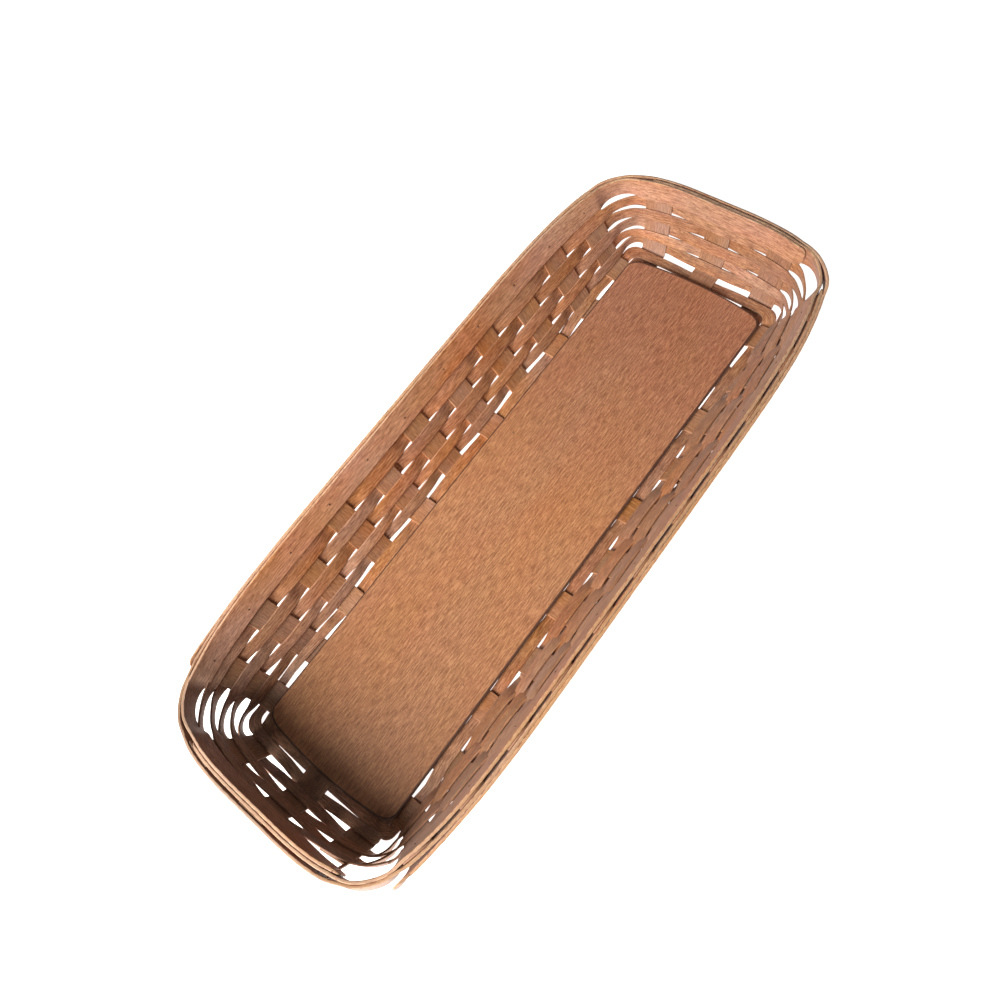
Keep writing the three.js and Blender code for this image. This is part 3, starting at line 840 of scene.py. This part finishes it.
def band(name, node, start, finish, lift_at, seed, material):
    """A rim band from one place to another round the basket."""
    places = [np.array([start, finish])]
    for number in range(math.floor(start), math.ceil(finish)):
        steps = BAND_CORNER_STEPS if number % UPRIGHTS in CORNERS else BAND_STEPS
        places.append(number + np.arange(0, 1, 1 / steps))
    ends = np.linspace(0, BAND_END_SHARE, BAND_END_STEPS)
    places = np.unique(np.concatenate([*places, start + ends, finish - ends]))
    places = places[(places >= start) & (places <= finish)]
    rows = np.stack([outline_point(level, ring_at(level, places)) for level in (band_low, band_high)], axis=1)
    rows = stand_up(rows, band_turn(places), pivot=1)
    lift = lift_at(places)
    lift -= np.sign(lift) * closing(places) * CLOSING_LIFT
    lift += np.where(np.floor(places) % UPRIGHTS == FAR_RIGHT, FAR_RIGHT_SWELL, 0) * closing(places)
    made = splint(name, rows, lift, BAND_THICKNESS, seed, end=BAND_END, ragged=BAND_RAGGED)
    finish_piece(made, material, node)


def make_bands(material):
    """Two inner and two outer bands, which step over one another round the corners."""

    def inner_long(place):
        near = stepping(place, INNER_STEPS, NEAR_LEFT, -2, -1)
        far = stepping(place, INNER_STEPS, FAR_LEFT, -1, -2)
        return np.where(place < (NEAR_LEFT + FAR_LEFT) / 2, near, far)

    def even(layer):
        return lambda place: np.full_like(place, layer_lift(layer))

    def outer_top(place):
        """Both ends of this band have sprung loose from the wall."""
        left = stepping(place, OUTER_STEPS, FAR_LEFT, 2, 1)
        right = stepping(place, OUTER_STEPS, FAR_RIGHT, 1, 2)
        lift = np.where(place < (FAR_LEFT + FAR_RIGHT) / 2, left, right)
        distance = ring_at(band_high, place)
        first, last = ring_at(band_high, np.array(OUTER_TOP))
        loose = np.clip(1 - np.minimum(distance - first, last - distance) / SPRUNG_LENGTH, 0, 1)
        return lift - BAND_TOP_INSET + SPRUNG_REACH * loose**2

    band("band_inner_long", "inner_rim_long", *INNER_LONG, inner_long, BAND_SEED, material)
    band("band_inner_short", "inner_rim_short", *INNER_SHORT, even(-1), BAND_SEED + 20, material)
    band("band_outer_under", "outer_rim_under", *OUTER_UNDER, even(1), BAND_SEED + 40, material)
    band("band_outer_top", "outer_rim_top", *OUTER_TOP, outer_top, BAND_SEED + 60, material)


def board_end(y):
    """How far the board reaches at a place across it: bowed ends and rounded corners."""
    beyond = np.clip((np.abs(y) - (BOARD_HALF_WIDTH - BOARD_CORNER)) / BOARD_CORNER, 0, 1)
    corner = BOARD_CORNER * (1 - np.sqrt(1 - beyond**2))
    return BOARD_HALF_LENGTH - BOARD_END_BOW * (y / BOARD_HALF_WIDTH) ** 2 - corner


def make_board(material):
    """The thin board in the base, very slightly warped, with softened edges and a painted shadow line round
    them.
    """
    # Shares of its half width and length, closer together towards the rounded corners
    fine = 1 - np.array([0, 0.0006, 0.002, 0.005, 0.01, 0.017, 0.026, 0.037, 0.05])
    across = np.concatenate([-fine, np.linspace(-0.93, 0.93, 25), fine[::-1]])
    along = np.concatenate([[-1, -0.9985, -0.995], np.linspace(-0.985, 0.985, 61), [0.995, 0.9985, 1]])
    t, s = np.meshgrid(across, along, indexing="ij")

    def sheet(inset, z):
        y = t * (BOARD_HALF_WIDTH - inset)
        x = s * (board_end(t * BOARD_HALF_WIDTH) - inset)
        return np.stack([x, y + BOARD_OFF_CENTRE, np.full_like(x, z)], axis=-1)

    def outside(grid):
        """The outermost entries of a grid, in order round it."""
        return np.concatenate([grid[0], grid[1:, -1], grid[-1, -2::-1], grid[-2:0:-1, 0]])

    low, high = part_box("base_board")
    soft = 0.3 * BOARD_EDGE
    bottom, top = sheet(BOARD_EDGE, low.z), sheet(BOARD_EDGE, high.z)
    sides = (
        sheet(soft, low.z + soft),
        sheet(0, low.z + BOARD_EDGE),
        sheet(0, high.z - BOARD_EDGE),
        sheet(soft, high.z - soft),
    )
    waves = BOARD_WARP_WAVES
    top[..., 2] -= BOARD_WARP * np.abs(np.sin(top[..., 0] * waves[0] + 1) * np.cos(top[..., 1] * waves[1]))

    lower = np.arange(t.size).reshape(t.shape)
    upper = lower + t.size
    quads = np.stack([lower[:-1, :-1], lower[:-1, 1:], lower[1:, 1:], lower[1:, :-1]], axis=-1).reshape(-1, 4)
    around_it = len(outside(lower))
    rings = 2 * t.size + np.arange(len(sides) * around_it).reshape(len(sides), around_it)
    rings = [outside(lower), *rings, outside(upper)]
    walls = [
        np.stack([below, np.roll(below, -1), np.roll(above, -1), above], axis=-1)
        for below, above in zip(rings, rings[1:])
    ]
    faces = np.concatenate([quads[:, ::-1], quads + t.size, *walls]).tolist()
    points = np.concatenate([bottom.reshape(-1, 3), top.reshape(-1, 3), *(outside(side) for side in sides)])
    # The marked rim of the top and the sides gets the dark edge colour: a painted shadow line in the gap
    # round the board
    marked = (np.abs(t) >= BOARD_MARKED[0]) | (np.abs(s) >= BOARD_MARKED[1])
    marks = np.concatenate([marked.ravel(), marked.ravel(), np.ones(len(sides) * around_it)])
    board = make_mesh("board", points, faces, points[:, :2], marks, BOARD_SEED)
    finish_piece(board, material, "base_board")


def tack_heads(name, places, normals, material):
    """Small domed tack heads pressed into the wood, as one piece."""
    points, faces = [], []
    for place, normal in zip(places, normals):
        first_axis = np.cross(normal, ASIDE)
        first_axis /= np.linalg.norm(first_axis)
        second_axis = np.cross(normal, first_axis)
        base = len(points)
        for reach, height in TACK_RINGS:
            for k in range(TACK_SIDES):
                turn = 2 * math.pi * k / TACK_SIDES
                around_it = first_axis * math.cos(turn) + second_axis * math.sin(turn)
                points.append(place + TACK_RADIUS * (reach * around_it + height * normal))
        points.append(place + TACK_RADIUS * TACK_TOP * normal)
        ring = base + np.arange(len(TACK_RINGS) * TACK_SIDES).reshape(-1, TACK_SIDES)
        following = np.roll(ring, -1, axis=1)
        quads = np.stack([ring[:-1], following[:-1], following[1:], ring[1:]], axis=-1)
        cap = [[a, b, len(points) - 1] for a, b in zip(ring[-1].tolist(), following[-1].tolist())]
        faces += [*quads.reshape(-1, 4).tolist(), *cap, ring[0, ::-1].tolist()]
    points = np.array(points)
    heads = make_mesh(name, points, faces, points[:, :2], np.zeros(len(points)), TACK_SEED)
    finish_piece(heads, material)


def make_tacks(material):
    """Tacks through the board into every other cross stake, and through the rim bands at the stakes."""
    rng = np.random.default_rng(TACK_PLACES_SEED)
    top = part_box("base_board")[1].z
    places = []
    for x in cross_x[:-1:2]:
        for side in (-1, 1):
            stray = rng.uniform(-BOARD_TACK_STRAY, BOARD_TACK_STRAY, 2)
            place = x + BOARD_TACK_X + stray[0], side * BOARD_TACK_Y + stray[1], top - BOARD_TACK_SUNK
            places.append(np.array(place))
    tack_heads("board_tacks", places, [np.array([0.0, 0.0, 1.0])] * len(places), material)

    places, normals = [], []
    depth = layer_lift(-1) - BAND_THICKNESS / 2 - RIM_TACK_SUNK
    for number in range(UPRIGHTS):
        spot = number + rng.uniform(-RIM_TACK_STRAY, RIM_TACK_STRAY)
        share = rng.uniform(*RIM_TACK_HEIGHT)
        low, ahead = outline_point(band_low, ring_at(band_low, np.array([spot, spot + AHEAD])))
        high = outline_point(band_high, ring_at(band_high, np.array([spot])))[0]
        normal = np.cross(high - low, ahead - low)
        normal /= np.linalg.norm(normal)
        places.append(low * (1 - share) + high * share + normal * depth)
        normals.append(-normal)
    tack_heads("rim_tacks", places, normals, material)


class Nodes:
    """Builds a material's node tree with short calls."""

    def __init__(self, name):
        self.material = bpy.data.materials.new(name)
        self.material.use_nodes = True
        self.tree = self.material.node_tree
        self.surface = next(n for n in self.tree.nodes if n.type == "BSDF_PRINCIPLED")

    def put(self, value, socket):
        """Links a socket to an input, or sets the input to a value."""
        if isinstance(value, bpy.types.NodeSocket):
            self.tree.links.new(value, socket)
        else:
            socket.default_value = value

    def new(self, kind, inputs=None, **settings):
        node = self.tree.nodes.new(kind)
        for key, value in settings.items():
            setattr(node, key, value)
        for key, value in (inputs or {}).items():
            self.put(value, node.inputs[key])
        return node

    def attribute(self, name):
        return self.new("ShaderNodeAttribute", attribute_name=name, attribute_type="GEOMETRY").outputs["Fac"]

    def noise(self, coordinates, scale, detail=2.0, roughness=0.5):
        """Noise whose cells are stretched: `scale` is cells per metre along and across the grain."""
        mapping = self.new("ShaderNodeMapping", {"Vector": coordinates, "Scale": (*scale, 1)})
        stretched = mapping.outputs["Vector"]
        inputs = {"Vector": stretched, "Scale": 1.0, "Detail": detail, "Roughness": roughness}
        return self.new("ShaderNodeTexNoise", inputs).outputs["Fac"]

    def ramp(self, factor, stops):
        """A colour ramp through (position, colour) stops."""
        node = self.new("ShaderNodeValToRGB", {"Fac": factor})
        elements = node.color_ramp.elements
        while len(elements) < len(stops):
            elements.new(0.5)
        for element, (position, colour) in zip(elements, stops):
            element.position = position
            element.color = (*colour, 1)
        return node.outputs["Color"]

    def math(self, operation, *values):
        node = self.new("ShaderNodeMath", operation=operation)
        for socket, value in zip(node.inputs, values):
            self.put(value, socket)
        return node.outputs["Value"]

    def add(self, *values):
        return self.math("ADD", *values)

    def subtract(self, *values):
        return self.math("SUBTRACT", *values)

    def multiply(self, *values):
        return self.math("MULTIPLY", *values)

    def span(self, value, from_low, from_high, to_low, to_high):
        """Carries a value from one span to another, and no further."""
        keys = ("Value", "From Min", "From Max", "To Min", "To Max")
        values = (value, from_low, from_high, to_low, to_high)
        return self.new("ShaderNodeMapRange", dict(zip(keys, values))).outputs["Result"]

    def mix(self, factor, first, second):
        """A colour mixed into another, which is plain."""
        node = self.new("ShaderNodeMix", data_type="RGBA")
        for socket, value in ((0, factor), (6, first), (7, (*second, 1))):
            self.put(value, node.inputs[socket])
        return node.outputs[2]

    def set(self, **values):
        for key, value in values.items():
            self.put(value, self.surface.inputs[key.replace("_", " ")])


def linear(red, green, blue):
    """A colour given as it shows on a screen, from 0 to 255, as light."""
    shares = (value / 255 for value in (red, green, blue))
    return tuple(s / 12.92 if s <= 0.04045 else ((s + 0.055) / 1.055) ** 2.4 for s in shares)


def board_painted_shade(n, x, y, far):
    """Painted shade on the board: darker towards both ends, most of all at the near right, where the near
    wall's shadow falls, and at the far end, where the light falls off.
    """
    near = n.multiply(n.span(x, *BOARD_NEAR_X), n.span(y, *BOARD_RIGHT_Y))
    return n.subtract(BOARD_LIGHT, n.add(near, n.multiply(far, FAR_DARK)))


def painted_end_shade(n, x, y, near_start):
    """Painted shade on the splints and bands: darker towards the near end, less so on the right, and at the
    far end.
    """
    near = n.multiply(n.span(x, NEAR_END_X, near_start, NEAR_DARK, 0), n.span(y, *RIGHT_Y))
    return n.add(near, n.span(x, *FAR_END_X))


def wood(name, colours, edge_amount, tones=0.2, mottle=(14, 45), hues=0.13, near_start=-0.05):
    """Stained wood with short fine grain along the map's first axis, soft stain and edges of another colour.

    `colours` are the dark, middle and light grain and the edges, as they show on a screen; `tones` and `hues`
    are how much the stain's lightness and richness vary, `mottle` its cells per metre, and `near_start` where
    along the basket the painted shade on the splints starts towards the near end. Over the stain lies painted
    light and shade by place, and on the board the dark edge colour is a painted shadow line.
    """
    dark, middle, light, edge_colour = (linear(*colour) for colour in colours)
    board = name == "board_wood"
    n = Nodes(name)
    grain = n.new("ShaderNodeUVMap", uv_map="grain").outputs["UV"]
    lines = n.noise(grain, LINES, roughness=0.6)
    stain = n.noise(grain, mottle, detail=3)

    blend = n.add(n.multiply(lines, LINE_SHARE), n.multiply(n.noise(grain, STREAKS), STREAK_SHARE))
    blend = n.add(blend, n.multiply(n.noise(grain, FLECKS, roughness=0.7), FLECK_SHARE))
    colour = n.ramp(blend, list(zip(GRAIN_STOPS, (dark, middle, light))))
    pore_mask = n.span(n.noise(grain, PORES, detail=1), *PORE_MASK)
    colour = n.mix(pore_mask, colour, tuple(PORE_SHADE * c for c in dark))

    shade = n.add(n.span(stain, *MOST, -0.5, 0.5), n.span(n.attribute("tone"), 0, 1, -0.5, 0.5))
    value = n.span(shade, -1, 1, 1 - tones, 1 + tones)
    rich_noise = n.noise(grain, (mottle[0] * 0.7, mottle[1] * 0.7))
    rich = n.span(rich_noise, *MOST, RICHNESS - hues, RICHNESS + hues)
    rosy_noise = n.noise(grain, ROSY, detail=3)
    edge = n.attribute("edge")

    place = n.new("ShaderNodeSeparateXYZ", {"Vector": n.new("ShaderNodeTexCoord").outputs["Object"]}).outputs
    x, y = place["X"], place["Y"]
    # Painted light and shade by place: the far half is painted duller, as a sheen.
    far = n.span(x, *FAR_HALF_X)
    rich = n.subtract(rich, n.multiply(far, FAR_DULL))
    if board:
        # The board: painted shade at both ends, and its far half painted rosier as part of the sheen.
        value = n.multiply(value, board_painted_shade(n, x, y, far))
        hue = n.subtract(n.span(rosy_noise, *BOARD_HUES), n.multiply(far, FAR_HUE))
    else:
        # The splints and bands: painted shade at both ends, also painted duller there, painted light on the
        # left wall and a painted shadow in the near left corner.
        near = painted_end_shade(n, x, y, near_start)
        left = n.add(n.span(y, *LEFT_Y), SPLINT_LIGHT)
        corner = n.multiply(n.span(x, *CORNER_X), n.span(y, *CORNER_Y))
        value = n.subtract(n.multiply(value, n.subtract(left, near)), corner)
        rich = n.subtract(rich, n.multiply(near, NEAR_DULL))
        hue = n.span(rosy_noise, *SPLINT_HUES)
        edge = n.multiply(edge, n.span(n.noise(grain, RUBBED), *RUBBED_MASK))
    colour = n.mix(n.multiply(edge, edge_amount), colour, edge_colour)
    tint = {"Color": colour, "Value": value, "Saturation": rich, "Hue": hue}
    colour = n.new("ShaderNodeHueSaturation", tint).outputs["Color"]

    relief = n.subtract(blend, n.multiply(pore_mask, 0.8))
    bump = n.new("ShaderNodeBump", {"Strength": 0.3, "Distance": 0.0003, "Height": relief})
    n.set(
        Base_Color=colour,
        Roughness=n.span(lines, *MOST, 0.5, 0.66),
        Normal=bump.outputs["Normal"],
        Specular_IOR_Level=0.4,
        Sheen_Weight=SHEEN,
        Sheen_Roughness=0.5,
    )
    return n.material


def spotted(n, scale, detail):
    """Even noise through the whole object."""
    place = n.new("ShaderNodeTexCoord").outputs["Object"]
    settings = {"Vector": place, "Scale": scale, "Detail": detail}
    return n.new("ShaderNodeTexNoise", settings).outputs["Fac"]


def metal(name):
    """Dull steel tacks with a little rust."""
    n = Nodes(name)
    spots = spotted(n, 1800.0, 2.0)
    colour = n.ramp(spots, [(0.4, linear(128, 100, 78)), (0.6, linear(84, 58, 42))])
    n.set(Base_Color=colour, Metallic=0.4, Roughness=n.span(spots, *MOST, 0.35, 0.6))
    return n.material


def paper(name):
    """The pale floor."""
    n = Nodes(name)
    colour = n.ramp(spotted(n, 3.0, 3.0), [(0.3, (0.9, 0.9, 0.9)), (0.7, (0.93, 0.93, 0.93))])
    n.set(Base_Color=colour, Roughness=0.9, Specular_IOR_Level=0.1)
    n.set(Emission_Color=(1, 1, 1, 1), Emission_Strength=FLOOR_GLOW)
    return n.material


def make_stage():
    """A plain pale floor, a soft key light from the near end, and an even sky."""
    mesh = bpy.data.meshes.new("floor")
    h = FLOOR_SIZE / 2
    z = cad_low.z - FLOOR_DROP
    mesh.from_pydata([(-h, -h, z), (h, -h, z), (h, h, z), (-h, h, z)], [], [(0, 1, 2, 3)])
    mesh.materials.append(paper("pale_floor"))
    floor = link("floor", mesh)

    light = bpy.data.lights.new("key", "AREA")
    light.shape = "DISK"
    light.size = KEY_SIZE
    light.energy = KEY_POWER
    light.color = KEY_COLOUR
    key = link("key", light)
    key.location = KEY_PLACE
    key.rotation_mode = "QUATERNION"
    key.rotation_quaternion = (-key.location).to_track_quat("-Z", "Y")

    world = bpy.data.worlds.new("sky")
    world.use_nodes = True
    background = next(n for n in world.node_tree.nodes if n.type == "BACKGROUND")
    background.inputs["Color"].default_value = (1, 1, 1, 1)
    background.inputs["Strength"].default_value = WORLD_STRENGTH
    bpy.context.scene.world = world


def make_camera():
    """The photograph's own camera."""
    data = bpy.data.cameras.new("camera")
    data.lens = CAMERA_FOCAL * data.sensor_width
    data.shift_x, data.shift_y = CAMERA_SHIFT
    data.clip_start = 0.01
    camera = link("camera", data)
    turn = Euler([math.radians(a) for a in CAMERA_TURN]).to_matrix().to_4x4()
    camera.matrix_world = Matrix.Translation(CAMERA_PLACE) @ turn
    bpy.context.scene.camera = camera


SPLINT_EDGE = (186, 146, 116)
stake_wood = wood("stake_wood", ((130, 80, 50), (151, 98, 63), (170, 115, 77), SPLINT_EDGE), 0.15)
weaver_wood = wood("weaver_wood", ((124, 73, 44), (158, 101, 67), (190, 131, 92), SPLINT_EDGE), 0.3)
BAND_COLOURS = ((134, 82, 54), (166, 108, 76), (194, 134, 98), (214, 168, 124))
band_wood = wood("band_wood", BAND_COLOURS, 0.85, near_start=-0.1)
# The board's edge colour is near black: a painted shadow line where the board meets the base row
BOARD_COLOURS = ((138, 88, 54), (168, 112, 71), (196, 138, 92), (70, 42, 28))
board_wood = wood("board_wood", BOARD_COLOURS, 0.9, tones=0.05, mottle=(12, 30), hues=0.03)

make_camera()
make_board(board_wood)
make_stakes(stake_wood)
make_weavers(weaver_wood)
make_bands(band_wood)
make_tacks(metal("tack_metal"))
make_stage()
bpy.context.scene.view_settings.view_transform = "Standard"
